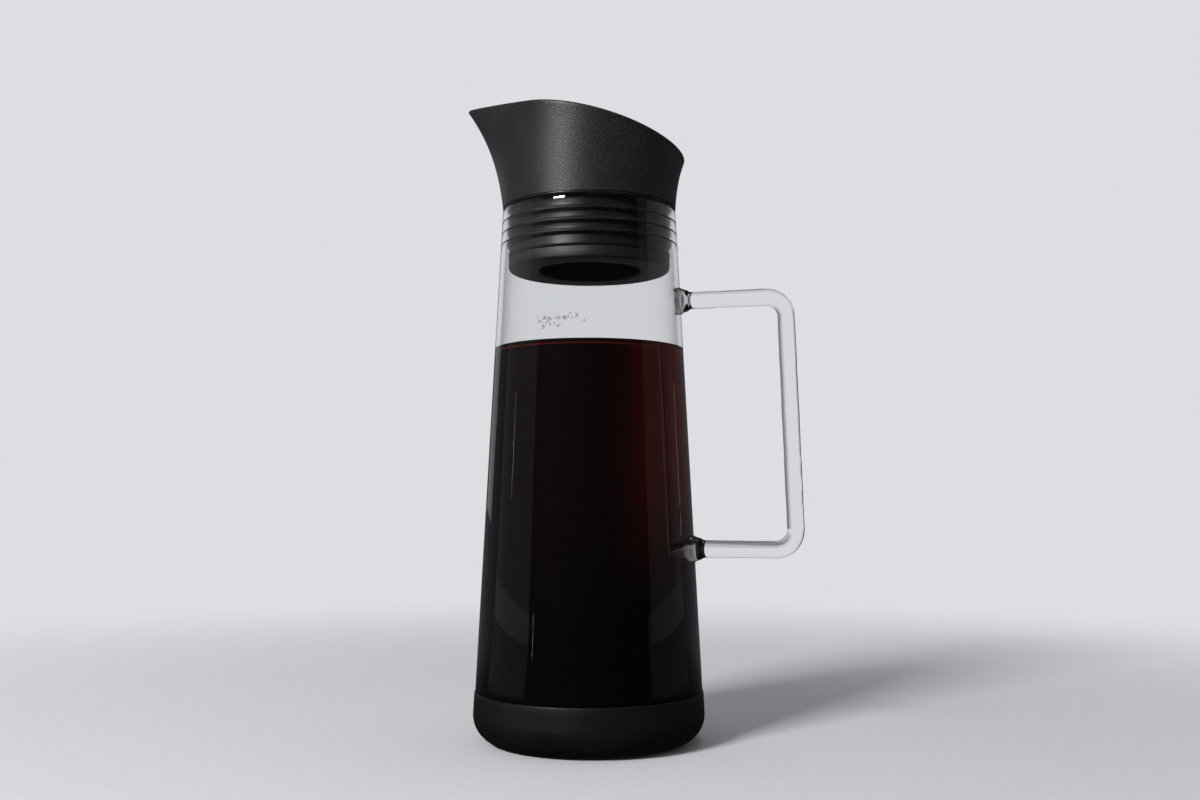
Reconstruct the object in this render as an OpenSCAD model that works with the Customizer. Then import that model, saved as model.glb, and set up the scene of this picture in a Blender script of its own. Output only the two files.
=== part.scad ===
// Cold brew coffee maker: a glass carafe with a glass rod handle stands in a silicone base
// sleeve. A spouted lid closes it with a finned stopper, whose flap opens as it pours, and a
// capped brew filter stands on the carafe's floor. Millimetres, +Z up, the axis of the carafe
// on Z, the table at z = 0, the spout towards -X.

/* [Carafe] */
// Height of the glass rim above the table
rim_z = 241.5; // [225:0.5:280]
// Outer radius of the glass at the rim
rim_r = 40.2; // [38:0.1:44]
// Outer radius that the straight side would reach at the table
foot_r = 52.4; // [50:0.1:58]
// Thickness of the glass wall
glass_wall = 2.4; // [1.8:0.1:3]
// Thickness of the glass floor
glass_floor = 4; // [3:0.1:7]
// Radius of the curve between side and floor
foot_curve = 12; // [9:0.5:16]

/* [Base sleeve] */
// Height of the sleeve above the table
sleeve_top = 22.6; // [18:0.1:40]
// Thickness of the silicone
sleeve_wall = 1.2; // [0.8:0.1:2]
// How far the sleeve stands proud of the glass above it
sleeve_proud = 0.4; // [0:0.1:0.8]

/* [Handle] */
// Diameter of the glass rod
rod_d = 7.6; // [6:0.1:10]
// Height of the upper arm
arm_top_z = 198.2; // [180:0.1:210]
// Height of the lower arm
arm_low_z = 86.3; // [60:0.1:120]
// Depth of the finger gap at the upper arm
gap_top = 44.6; // [35:0.1:60]
// Depth of the finger gap at the lower arm
gap_low = 42.7; // [35:0.1:60]
// Radius of the two bends, on the rod's centre line
bend_r = 9; // [6:0.1:14]
// Radius of the bead that welds each arm to the carafe
bead_r = 6.4; // [5:0.1:8]
// Length over which that bead runs out into the rod
bead_l = 8; // [5:0.5:12]
// Turn of the handle from the line opposite the spout
handle_turn = -16; // [-60:1:60]

/* [Lid shell] */
// Height of the spout's tip above the glass rim
tip_h = 49; // [42:0.5:60]
// Height of the shell's back edge above the glass rim
back_h = 25.2; // [20:0.1:32]
// Rise of the shell's edge above the straight line from tip to back, at mid length
edge_crown = 2.8; // [0:0.1:5]
// How far the spout's tip reaches out past the glass rim
spout_over = 16.7; // [12:0.1:24]
// How far the round part of the edge flares out past the glass rim, seen from above
edge_over = 2.1; // [1:0.1:6]
// Offset of that round part from the axis, away from the spout
edge_x = 2.2; // [0:0.1:4]
// Softness of the spout's corner, as an angle seen from the axis
tip_soft = 1.5; // [0.5:0.1:4]
// Share of the flare that is straight, with the rest curving out towards the edge
straight_flare = 0.35; // [0.1:0.05:0.8]
// Power of the curved share
flare_power = 2.5; // [1.5:0.1:4]
// Thickness of the shell
shell_wall = 2; // [1.6:0.1:2.6]

/* [Stopper] */
// Thickness of the seal's lip between the glass rim and the lid
lip_h = 1; // [0.8:0.1:2]
// Thickness of the flange that carries the shell
flange_h = 2.5; // [2:0.1:4]
// Depth of the stopper's tube below the glass rim
plug_depth = 22.8; // [21.5:0.1:26]
// Distance from the glass to the stopper's tube, which the seal fills
seal_reach = 4.8; // [4:0.1:6]
// Wall of the stopper's tube
plug_wall = 4.5; // [3.5:0.1:5]
// Height of the valve floor above the lower end of the tube
valve_floor_up = 6.3; // [4:0.1:7]
// Thickness of the valve floor
valve_floor_h = 2.5; // [2:0.1:3.5]
// Thickness of the retaining ring below the seal
retainer_h = 5.2; // [3:0.1:7]
// Distance of the retaining ring from the glass as it passes the rim
retainer_gap = 0.4; // [0.3:0.1:2]
// Chamfer of the retaining ring's lower edge
retainer_edge = 0.6; // [0.3:0.1:1.2]
// Wall of the spigot that holds the ring in the tube
spigot_wall = 4.3; // [3:0.1:6]
// Height of that spigot
spigot_h = 4.5; // [3:0.1:5.5]

/* [Seal] */
// Number of fins
fins = 3; // [2:1:3]
// Thickness of a fin at its root
fin_root = 2.8; // [2:0.1:3.4]
// Thickness of a fin at its tip
fin_tip = 0.8; // [0.6:0.1:1.5]
// Distance from fin to fin
fin_pitch = 5.2; // [4.8:0.05:5.5]
// Depth of the first fin's middle below the glass rim
fin_depth = 5.9; // [4.5:0.1:6.2]
// Thickness of the silicone between the fins
seal_wall = 3.6; // [2.4:0.1:4]
// Height of the cuff below the fins, which flares out to its lower edge
cuff_h = 5; // [4:0.1:5.4]
// Radius of the cuff's rounded lower edge
cuff_edge = 1.1; // [0.6:0.1:1.6]
// How far the lip over the glass rim stays back from the rim's outside
lip_inset = 0.4; // [0.2:0.1:1]

/* [Pour flap] */
// How far the flap covers the floor round the pouring hole
flap_cover = 4.5; // [3.8:0.1:7]
// Gap between the hinge knuckle and the wall of the well
well_gap = 1.9; // [1:0.1:3]
// Distance from the flap's round edge to the hinge knuckle
flap_neck = 1.5; // [0.8:0.1:3]
// Thickness of the flap
flap_h = 1.8; // [1.4:0.1:2.4]
// Height of the seat round the pouring hole
seat_h = 0.8; // [0.5:0.1:1.5]
// Width of the seat
seat_w = 1.6; // [1:0.1:2]
// Thickness of the flap's gasket
gasket_h = 1.2; // [0.8:0.1:1.6]
// How far the gasket laps over the pouring hole
gasket_lap = 0.6; // [0.4:0.1:1]
// How far the gasket reaches out past the seat
gasket_over = 1.2; // [0.6:0.1:1.6]
// Radius of the hinge pin
pin_r = 1; // [0.8:0.1:1.2]
// Outer radius of the hinge knuckle
knuckle_r = 2.3; // [2:0.1:2.6]
// Length of the hinge knuckle
knuckle_l = 12; // [9:0.5:14]
// Thickness of each hinge ear
ear_w = 2.6; // [2:0.1:3.2]

/* [Brew filter] */
// Outer radius of the filter's frame
frame_r = 24.4; // [20:0.1:27]
// Wall of the frame
frame_wall = 1.6; // [1.2:0.1:2.4]
// Height of the frame
frame_l = 144; // [110:1:146]
// Number of windows round the frame
window_cols = 6; // [4:1:8]
// Number of windows one above another
window_rows = 3; // [2:1:4]
// Width of the ribs between the windows
rib_w = 4.5; // [3:0.1:7]
// Height of the plain rim at each end of the frame
frame_rim = 12; // [11:0.5:16]
// Thickness of the mesh tube
mesh_wall = 0.4; // [0.3:0.1:0.6]
// Wall of the filter's base and cap
cup_wall = 1.8; // [1.4:0.1:2.4]
// Height of the base's wall round the frame
base_h = 11; // [8:0.5:13]
// Height of the cap's skirt round the frame
skirt_h = 9; // [6:0.5:10]
// Number of grip flutes round the base and the cap
flutes = 20; // [12:1:28]
// Radius of a flute
flute_r = 1.2; // [0.8:0.1:1.4]
// Thickness of the cap's gasket
cap_gasket_h = 1.2; // [0.8:0.1:1.6]
// Width of the cap's gasket
cap_gasket_w = 3.6; // [2.4:0.1:5]
// Height of the cap's finger loop
loop_h = 13; // [10:0.5:16]
// Thickness of the finger loop
loop_t = 4; // [3:0.1:6]

/* [Clearances] */
// Gap between the lid's parts and the glass
seal_gap = 0.2; // [0.15:0.05:0.3]
// Gap between parts that are put together by hand
hand_gap = 0.2; // [0.1:0.05:0.3]
// Radial play of the hinge on its pin
pin_play = 0.05; // [0.02:0.01:0.1]

/* [Hidden] */

$fn = 96;
eps = 0.01;
big = 400;
// How far a cut runs past the face that it opens
past = 1;

// The glass: the side is a cone, and the foot curve is tangent to it and to the floor
skin_z = sleeve_proud;
lean = atan((foot_r - rim_r) / (rim_z - skin_z));
curve_x = foot_r - foot_curve * tan(lean) - foot_curve / cos(lean);
curve_z = skin_z + foot_curve;
inset = sleeve_wall - sleeve_proud;
glass_z = skin_z + inset;
inside_z = glass_z + glass_floor;
bore_r = rim_r - glass_wall;
function side_r(z) = foot_r - (z - skin_z) * tan(lean);

// The handle's grip leans with these values, in the plane of the handle
rod_r = rod_d / 2;
grip_top_x = side_r(arm_top_z) + gap_top + rod_r;
grip_low_x = side_r(arm_low_z) + gap_low + rod_r;
grip_lean = atan((grip_low_x - grip_top_x) / (arm_top_z - arm_low_z));
bend_top_x = grip_top_x - bend_r * tan((90 - grip_lean) / 2);
bend_low_x = grip_low_x - bend_r * tan((90 + grip_lean) / 2);
rod_sides = 24;
bead_steps = 6;
bend_steps = 8;

// The stopper, from the glass rim down and from the glass inwards
lid_z = rim_z + seal_gap + lip_h;
plug_r = bore_r - seal_reach;
well_r = plug_r - plug_wall;
inlet_r = well_r - hand_gap - spigot_wall;
hinge_x = well_r - well_gap - knuckle_r;
flap_r = hinge_x - knuckle_r - flap_neck;
pour_r = flap_r - flap_cover;
plug_z = rim_z - plug_depth;
floor_z = plug_z + valve_floor_up;
floor_top = floor_z + valve_floor_h;
seat_z = floor_top + seat_h;
gasket_z = seat_z + hand_gap;
flap_z = gasket_z + gasket_h;
hinge_z = flap_z + flap_h / 2;
fin_r = bore_r - seal_gap;
flange_r = rim_r - shell_wall - hand_gap;
lip_r = rim_r - lip_inset;
skin_r = plug_r + seal_wall;
retainer_r = bore_r - retainer_gap;
gasket_in = pour_r - gasket_lap;
gasket_out = pour_r + seat_w + gasket_over;

spout_reach = rim_r + spout_over;
edge_r = rim_r + edge_over;

// The lid's edge, seen from above: a circle, and two lines from a point past the tip that touch it
sharp_angle = asin(edge_r / (spout_reach + edge_x));
apex_reach = spout_reach * sin(sharp_angle + tip_soft) / sin(sharp_angle);
tip_angle = asin(edge_r / (apex_reach + edge_x));
touch_angle = atan(edge_r * cos(tip_angle) / (edge_r * sin(tip_angle) - edge_x));
columns = 96;
levels = 9;
edge_steps = 4;

// The filter, from the carafe's floor up
frame_z = inside_z + cup_wall;
frame_top = frame_z + frame_l;
mesh_r = frame_r - frame_wall;
cup_r = frame_r + hand_gap + cup_wall;
cap_z = frame_top + cap_gasket_h;

// ---- Carafe, handle and sleeve

// Half section of the carafe's outside, moved out by grow, from its lowest point up to top
module vessel_section(grow, top) {
    r = foot_curve + grow;
    side = foot_r + grow / cos(lean);
    intersection() {
        union() {
            polygon([[0, curve_z - r], [curve_x, curve_z - r], [curve_x, curve_z],
                     [curve_x + r * cos(lean), curve_z + r * sin(lean)],
                     [side - (top - skin_z) * tan(lean), top], [0, top]]);
            translate([curve_x, curve_z]) circle(r = r);
        }
        square([big, top]);
    }
}

// Half section of the outside of the glass, which is drawn in below the sleeve's edge
module glass_section() {
    wall_top = rim_z - glass_wall / 2;
    vessel_section(-inset, sleeve_top + eps);
    intersection() {
        vessel_section(0, wall_top);
        translate([0, sleeve_top]) square([big, big]);
    }
}

module carafe() {
    wall_top = rim_z - glass_wall / 2;
    color("lightcyan", 0.35)
    rotate_extrude() {
        difference() {
            glass_section();
            intersection() {
                translate([-glass_wall, 0]) vessel_section(0, wall_top + past);
                translate([0, inside_z]) square([big, big]);
            }
        }
        translate([side_r(wall_top) - glass_wall / 2, wall_top]) circle(r = glass_wall / 2);
    }
}

// A ring of the rod: its centre in the handle's plane, the way the rod runs there, its radius
function bead(d) = rod_r + (bead_r - rod_r) * (d < bead_l ? (1 + cos(180 * max(d, 0) / bead_l)) / 2 : 0);
function arm_rings(z) = [for (d = [-glass_wall, for (i = [0:bead_steps]) bead_l * i / bead_steps])
    [side_r(z) + d, z, 0, bead(d)]];
function bend_rings(x, z, from, to) = [for (i = [0:bend_steps])
    let (a = from + (to - from) * i / bend_steps) [x + bend_r * cos(a), z + bend_r * sin(a), a - 90, rod_r]];
function reversed(rings) = [for (i = [len(rings) - 1:-1:0]) let (r = rings[i]) [r[0], r[1], -180, r[3]]];

module rod(rings) {
    last = len(rings) - 1;
    points = [for (r = rings, i = [0:rod_sides - 1]) let (t = 360 * i / rod_sides)
        [r[0] - r[3] * cos(t) * sin(r[2]), r[3] * sin(t), r[1] + r[3] * cos(t) * cos(r[2])]];
    skin = [for (j = [0:last - 1], i = [0:rod_sides - 1])
        let (k = (i + 1) % rod_sides, a = j * rod_sides + i, b = j * rod_sides + k)
        each [[a, b, b + rod_sides], [a, b + rod_sides, a + rod_sides]]];
    ends = [[for (i = [rod_sides - 1:-1:0]) i], [for (i = [0:rod_sides - 1]) last * rod_sides + i]];
    polyhedron(points = points, faces = concat(skin, ends), convexity = 4);
}

module handle() {
    color("lightcyan", 0.45)
    difference() {
        rotate([0, 0, handle_turn]) rod(concat(
            arm_rings(arm_top_z),
            bend_rings(bend_top_x, arm_top_z - bend_r, 90, grip_lean),
            bend_rings(bend_low_x, arm_low_z + bend_r, grip_lean, -90),
            reversed(arm_rings(arm_low_z))));
        rotate_extrude() glass_section();
    }
}

module base_sleeve() {
    color("#26262b")
    rotate_extrude() difference() {
        vessel_section(sleeve_proud, sleeve_top);
        vessel_section(-inset, sleeve_top + past);
    }
}

// ---- Lid shell

// Distance of the lid's edge from the axis in direction a, with the spout at 180
function corner(a) = sqrt(pow(180 - a, 2) + pow(tip_soft, 2));
function line_r(a) = apex_reach * sin(tip_angle) / sin(tip_angle + corner(a));
function circle_r(a) = edge_x * cos(a) + sqrt(pow(edge_r, 2) - pow(edge_x * sin(a), 2));
function edge_reach(a) = abs(180 - a) < touch_angle ? line_r(a) : circle_r(a);

// Height of the lid's edge above the shell's foot, from the tip (u = 0) to the back (u = 1)
function edge_u(a) = (edge_reach(a) * cos(a) + spout_reach) / (spout_reach + edge_r + edge_x);
function edge_h(a) = let (u = edge_u(a))
    rim_z - lid_z + tip_h + (back_h - tip_h) * u + edge_crown * 4 * u * (1 - u);

// A point of the wall in direction a: s runs from foot to edge, and w goes into the wall
function flare(s) = straight_flare * s + (1 - straight_flare) * pow(s, flare_power);
function wall_point(a, s, w) = let (r = rim_r + flare(s) * (edge_reach(a) - rim_r) - w)
    [r * cos(a), r * sin(a), s * (edge_h(a) - shell_wall / 2)];
// The edge itself is half round: turn runs from 0 outside to 180 inside
function edge_point(a, turn) = let (w = shell_wall / 2 * (1 - cos(turn)), p = wall_point(a, 1, w))
    [p.x, p.y, p.z + shell_wall / 2 * sin(turn)];
function wall_column(a) = concat(
    [for (i = [0:levels]) wall_point(a, i / levels, 0)],
    [for (i = [1:edge_steps - 1]) edge_point(a, 180 * i / edge_steps)],
    [for (i = [levels:-1:0]) wall_point(a, i / levels, shell_wall)]);

module lid_shell() {
    step = 360 / columns;
    rings = [for (i = [0:columns - 1]) wall_column(i * step)];
    count = len(rings[0]);
    corners = [for (ring = rings) each ring];
    faces = [for (i = [0:columns - 1], j = [0:count - 1])
        let (k = (i + 1) % columns, n = (j + 1) % count,
             a = i * count + j, b = k * count + j, c = k * count + n, d = i * count + n)
        each [[a, d, c], [a, c, b]]];
    color("#2b2b2e")
    translate([0, 0, lid_z]) polyhedron(points = corners, faces = faces, convexity = 6);
}

// ---- Stopper

module tube(r_out, r_in, z, h) {
    translate([0, 0, z]) rotate_extrude() translate([r_in, 0]) square([r_out - r_in, h]);
}

module ear(y) {
    up = hinge_z + knuckle_r - floor_top;
    translate([hinge_x - knuckle_r, y, floor_top - eps]) cube([2 * knuckle_r, ear_w, up - knuckle_r]);
    translate([hinge_x, y + ear_w, hinge_z]) rotate([90, 0, 0]) cylinder(r = knuckle_r, h = ear_w);
}

module lid_core() {
    color("#202023")
    difference() {
        union() {
            tube(plug_r, well_r, plug_z, lid_z - plug_z + eps);
            tube(flange_r, well_r, lid_z, flange_h);
            tube(well_r + eps, pour_r, floor_z, valve_floor_h);
            tube(pour_r + seat_w, pour_r, floor_top - eps, seat_h + eps);
            ear(knuckle_l / 2 + hand_gap);
            ear(-knuckle_l / 2 - hand_gap - ear_w);
        }
        translate([hinge_x, big / 2, hinge_z]) rotate([90, 0, 0]) cylinder(r = pin_r, h = big);
    }
}

// Half section of a fin round height z, from its root to its tip
module fin_section(z) {
    polygon([[plug_r, z - fin_root / 2], [skin_r, z - fin_root / 2], [fin_r, z - fin_tip / 2],
             [fin_r, z + fin_tip / 2], [skin_r, z + fin_root / 2], [plug_r, z + fin_root / 2]]);
}

module lid_seal() {
    cuff_top = plug_z + cuff_h;
    color("#17171a")
    rotate_extrude() difference() {
        union() {
            translate([plug_r, plug_z + cuff_edge]) square([seal_wall, lid_z - plug_z - cuff_edge]);
            translate([plug_r, lid_z - lip_h]) square([lip_r - plug_r, lip_h]);
            for (i = [0:fins - 1]) fin_section(rim_z - fin_depth - i * fin_pitch);
            polygon([[plug_r, plug_z], [fin_r - cuff_edge, plug_z], [fin_r - cuff_edge, plug_z + cuff_edge],
                     [fin_r, plug_z + cuff_edge], [skin_r, cuff_top], [plug_r, cuff_top]]);
            translate([fin_r - cuff_edge, plug_z + cuff_edge]) circle(r = cuff_edge);
        }
        square([plug_r, big]);
    }
}

module seal_retainer() {
    low = plug_z - retainer_h;
    color("#202023")
    rotate_extrude() polygon([
        [inlet_r + retainer_edge, low], [retainer_r - retainer_edge, low], [retainer_r, low + retainer_edge],
        [retainer_r, plug_z], [inlet_r + spigot_wall, plug_z], [inlet_r + spigot_wall, plug_z + spigot_h],
        [inlet_r, plug_z + spigot_h], [inlet_r, low + retainer_edge]]);
}

module pour_flap() {
    color("#303034")
    difference() {
        union() {
            translate([0, 0, flap_z]) cylinder(r = flap_r, h = flap_h);
            translate([0, -knuckle_l / 2, flap_z]) cube([hinge_x, knuckle_l, flap_h]);
            translate([hinge_x, knuckle_l / 2, hinge_z]) rotate([90, 0, 0])
            cylinder(r = knuckle_r, h = knuckle_l);
            translate([0, 0, gasket_z + gasket_h / 2]) cylinder(r = gasket_in - hand_gap, h = gasket_h);
        }
        translate([hinge_x, big / 2, hinge_z]) rotate([90, 0, 0])
        cylinder(r = pin_r + pin_play, h = big);
    }
}

module flap_pin() {
    pin_l = knuckle_l + 2 * (hand_gap + ear_w);
    color("silver")
    translate([hinge_x, pin_l / 2, hinge_z]) rotate([90, 0, 0]) cylinder(r = pin_r, h = pin_l);
}

module flap_gasket() {
    color("#3a3a3e") tube(gasket_out, gasket_in, gasket_z, gasket_h);
}

// ---- Brew filter

// Flutes are cut into the outside of the base and the cap for the fingers
module flute_ring(z, h) {
    for (i = [0:flutes - 1]) rotate([0, 0, i * 360 / flutes])
        translate([cup_r + flute_r / 2, 0, z]) cylinder(r = flute_r, h = h, $fn = 24);
}

module filter_base() {
    color("#2b2b2e")
    difference() {
        translate([0, 0, inside_z]) cylinder(r = cup_r, h = cup_wall + base_h);
        translate([0, 0, frame_z]) cylinder(r = frame_r + hand_gap, h = big);
        flute_ring(frame_z, big);
    }
}

module filter_frame() {
    span = frame_l - 2 * frame_rim;
    window_h = (span - (window_rows - 1) * rib_w) / window_rows;
    window_w = 2 * PI * frame_r / window_cols - rib_w;
    color("#35353a")
    difference() {
        tube(frame_r, mesh_r, frame_z, frame_l);
        for (i = [0:window_cols - 1], j = [0:window_rows - 1]) rotate([0, 0, i * 360 / window_cols])
            translate([0, -window_w / 2, frame_z + frame_rim + j * (window_h + rib_w)])
            cube([big, window_w, window_h]);
    }
}

module filter_mesh() {
    color("silver") tube(mesh_r, mesh_r - mesh_wall, frame_z, frame_l);
}

module filter_cap() {
    skirt_z = frame_top - skirt_h;
    color("#2b2b2e")
    difference() {
        union() {
            translate([0, 0, skirt_z]) cylinder(r = cup_r, h = skirt_h + cap_gasket_h + cup_wall);
            intersection() {
                translate([0, loop_t / 2, cap_z + cup_wall]) rotate([90, 0, 0])
                difference() {
                    cylinder(r = loop_h, h = loop_t);
                    translate([0, 0, -past]) cylinder(r = loop_h - loop_t, h = loop_t + 2 * past);
                }
                translate([-big / 2, -big / 2, cap_z]) cube([big, big, big]);
            }
        }
        translate([0, 0, skirt_z - past]) cylinder(r = frame_r + hand_gap, h = skirt_h + cap_gasket_h + past);
        flute_ring(skirt_z - past, skirt_h + past);
    }
}

module cap_gasket() {
    color("#3a3a3e") tube(frame_r, frame_r - cap_gasket_w, frame_top, cap_gasket_h);
}

carafe();
handle();
base_sleeve();
lid_shell();
lid_core();
lid_seal();
seal_retainer();
pour_flap();
flap_pin();
flap_gasket();
filter_base();
filter_frame();
filter_mesh();
filter_cap();
cap_gasket();
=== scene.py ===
import math

import bpy
import numpy as np
from mathutils import Euler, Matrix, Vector


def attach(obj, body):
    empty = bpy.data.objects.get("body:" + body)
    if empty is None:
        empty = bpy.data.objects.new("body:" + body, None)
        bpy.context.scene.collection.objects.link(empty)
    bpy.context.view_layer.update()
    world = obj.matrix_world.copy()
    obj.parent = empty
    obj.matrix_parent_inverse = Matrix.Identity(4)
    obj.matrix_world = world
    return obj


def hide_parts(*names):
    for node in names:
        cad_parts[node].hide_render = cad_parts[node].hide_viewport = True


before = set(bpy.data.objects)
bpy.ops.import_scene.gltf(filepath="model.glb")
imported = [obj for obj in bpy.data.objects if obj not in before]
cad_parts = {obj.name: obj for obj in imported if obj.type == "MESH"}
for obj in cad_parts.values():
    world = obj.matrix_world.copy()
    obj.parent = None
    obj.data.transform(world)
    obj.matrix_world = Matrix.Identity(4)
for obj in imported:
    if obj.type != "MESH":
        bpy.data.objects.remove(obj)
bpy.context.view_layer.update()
mm = 0.001

# fitted to the photograph: place in millimetres, pitch in degrees above the horizon
cameraSet = {"place": (5, -566, 108), "pitch": 4.65, "lens": 36.9, "sensor": 36, "near": 0.01, "far": 60}


def makeCamera(c):
    data = bpy.data.cameras.new("photoCamera")
    data.lens, data.sensor_width = c["lens"], c["sensor"]
    data.clip_start, data.clip_end = c["near"], c["far"]
    camera = bpy.data.objects.new("photoCamera", data)
    camera.location = [v * mm for v in c["place"]]
    camera.rotation_euler = Euler((math.radians(90 + c["pitch"]), 0, 0))
    bpy.context.scene.collection.objects.link(camera)
    bpy.context.scene.camera = camera


makeCamera(cameraSet)
bpy.context.scene.view_settings.view_transform = "Standard"
bounces = {"all": 24, "glossy": 16, "transmission": 24}  # light runs a long way inside the rod
cycles = bpy.context.scene.cycles
cycles.caustics_refractive = False
cycles.max_bounces, cycles.glossy_bounces = bounces["all"], bounces["glossy"]
cycles.transmission_bounces = bounces["transmission"]
print("camera ready")


class Wire:
    # a shader socket that can be used in Python sums, products, powers and comparisons
    def __init__(self, finish, socket):
        self.finish, self.socket = finish, socket

    def math(self, operation, a, b=None):
        given = {i: v for i, v in enumerate((a, b)) if v is not None}
        return self.finish.node("ShaderNodeMath", {"operation": operation}, given)

    def __add__(self, other): return self.math("ADD", self, other)
    def __radd__(self, other): return self.math("ADD", other, self)
    def __sub__(self, other): return self.math("SUBTRACT", self, other)
    def __rsub__(self, other): return self.math("SUBTRACT", other, self)
    def __mul__(self, other): return self.math("MULTIPLY", self, other)
    def __rmul__(self, other): return self.math("MULTIPLY", other, self)
    def __truediv__(self, other): return self.math("DIVIDE", self, other)
    def __rtruediv__(self, other): return self.math("DIVIDE", other, self)
    def __pow__(self, other): return self.math("POWER", self, other)
    def __gt__(self, other): return self.math("GREATER_THAN", self, other)
    def __lt__(self, other): return self.math("LESS_THAN", self, other)

    def sine(self): return self.math("SINE", self)
    def size(self): return self.math("ABSOLUTE", self)
    def larger(self, other): return self.math("MAXIMUM", self, other)
    def angle(self, x): return self.math("ARCTAN2", self, x)

    def between(self, low, high):  # 0 below low, 1 above high, smooth between
        return self.finish.node("ShaderNodeMapRange", {"interpolation_type": "SMOOTHSTEP"},
                                {"Value": self, "From Min": low, "From Max": high})


class Finish:
    # a material, or the world, whose nodes all come from one method
    def __init__(self, name, tree=None):
        self.material = None
        if tree is None:
            self.material = bpy.data.materials.new(name)
            self.material.use_nodes = True
            tree = self.material.node_tree
        self.tree = tree
        tree.nodes.clear()

    def node(self, kind, settings=None, values=None, output=0):
        made = self.tree.nodes.new(kind)
        for key, value in (settings or {}).items():
            setattr(made, key, value)
        for key, value in (values or {}).items():
            socket = made.inputs[key]
            if isinstance(value, Wire):
                self.tree.links.new(value.socket, socket)
            elif isinstance(value, (tuple, list)) and socket.type == "RGBA":
                socket.default_value = (*value, 1)
            else:
                socket.default_value = value
        return Wire(self, made.outputs[output]) if made.outputs else made

    def place(self, scale=(1, 1, 1)):
        where = self.node("ShaderNodeTexCoord", output="Object")  # in metres
        return self.node("ShaderNodeMapping", {}, {"Vector": where, "Scale": scale})

    def axes(self, where, wanted="XYZ"):  # a Vector's parts, one Wire each
        return [self.node("ShaderNodeSeparateXYZ", {}, {"Vector": where}, output=a) for a in wanted]

    def noise(self, where, scale, detail=2, rough=0.5, bend=0):
        return self.node("ShaderNodeTexNoise", {}, {"Vector": where, "Scale": scale, "Detail": detail,
                                                    "Roughness": rough, "Distortion": bend})

    def blend(self, share, a, b):
        mixed = self.tree.nodes.new("ShaderNodeMix")
        mixed.data_type = "RGBA"
        for socket, value in ((mixed.inputs[0], share), (mixed.inputs[6], a), (mixed.inputs[7], b)):
            if isinstance(value, Wire):
                self.tree.links.new(value.socket, socket)
            else:
                socket.default_value = (*value, 1) if socket.type == "RGBA" else value
        return Wire(self, mixed.outputs[2])

    def bump(self, height, depth):  # depth is in millimetres
        return self.node("ShaderNodeBump", {}, {"Height": height, "Distance": depth * mm, "Strength": 1.0})

    def glow(self, colour):  # a strength of 1 shows the colour as written
        return self.node("ShaderNodeEmission", {}, {"Color": colour, "Strength": 1.0})

    def mix(self, share, a, b):  # shader a, and b where share is 1
        return self.node("ShaderNodeMixShader", {}, {0: share, 1: a, 2: b})

    def close(self, shader):
        self.node("ShaderNodeOutputMaterial", {}, {"Surface": shader})
        return self.material


def mouldedPlastic(name, look):
    # near-black plastic from a spark-eroded mould: a fine grain in height and gloss, whose size is in
    # millimetres, broad clouds, and here and there a painted glint, a pale grain in the colour in place of one that
    # catches the light
    f = Finish(name)
    where = f.place()
    grain = f.noise(where, 1000 / look["grain"], 3, 0.6)
    cloud = f.noise(where, look["clouds"], 2)
    paintedGlint = f.noise(where, look["paintedGlintScale"] / look["grain"], 1).between(*look["paintedGlintFrom"])
    colour = f.blend(cloud.between(0.3, 0.7), look["colour"], look["paler"])
    # painted glints: pale specks blended into the colour where a grain would catch the light
    colour = f.blend(paintedGlint * look["paintedGlint"], colour, look["paintedGlintColour"])
    gloss = look["rough"] + (grain - 0.5) * look["grainRough"] + (cloud - 0.5) * look["cloudRough"]
    return f.close(f.node("ShaderNodeBsdfPrincipled", {}, {
        "Base Color": colour, "Roughness": gloss, "IOR": look["ior"], "Specular IOR Level": look["shine"],
        "Normal": f.bump(grain, look["depth"])}))


def rubber(name, look):
    # satin silicone: broad soft unevenness, and dust that catches the light
    f = Finish(name)
    where = f.place()
    fine = f.noise(where, look["finer"], 2)
    broad = f.noise(where, look["broader"], 3)
    dust = f.noise(where, look["specks"], 0).between(*look["dustFrom"]) * broad.between(0.45, 0.65)
    colour = f.blend(broad.between(0.25, 0.75), look["colour"], look["paler"])
    colour = f.blend(dust * look["dust"], colour, look["dustColour"])
    gloss = look["rough"] + (broad - 0.5) * look["broadRough"] + (fine - 0.5) * look["fineRough"]
    return f.close(f.node("ShaderNodeBsdfPrincipled", {}, {
        "Base Color": colour, "Roughness": gloss, "IOR": look["ior"], "Specular IOR Level": look["shine"],
        "Normal": f.bump(fine, look["depth"])}))


def clearGlass(name, look):
    # borosilicate glass, or water: faint drawn waves in its surface, with finer ones on them
    f = Finish(name)
    waves = f.noise(f.place(look["stretch"]), look["waves"], 2, 0.4, 0.6)
    waves = waves + f.noise(f.place((1, 1, 0.3)), look["waves"] * 4, 1) * look["small"]  # four times finer
    glass = f.node("ShaderNodeBsdfPrincipled", {}, {
        "Base Color": look["colour"], "Roughness": 0.0, "IOR": look["ior"], "Transmission Weight": 1.0,
        "Normal": f.bump(waves, look["depth"])})
    shadow = f.node("ShaderNodeLightPath", output="Is Shadow Ray")  # lamps shine through it
    through = f.node("ShaderNodeBsdfTransparent", {}, {"Color": look["shade"]})
    return f.close(f.mix(shadow, glass, through))


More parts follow.
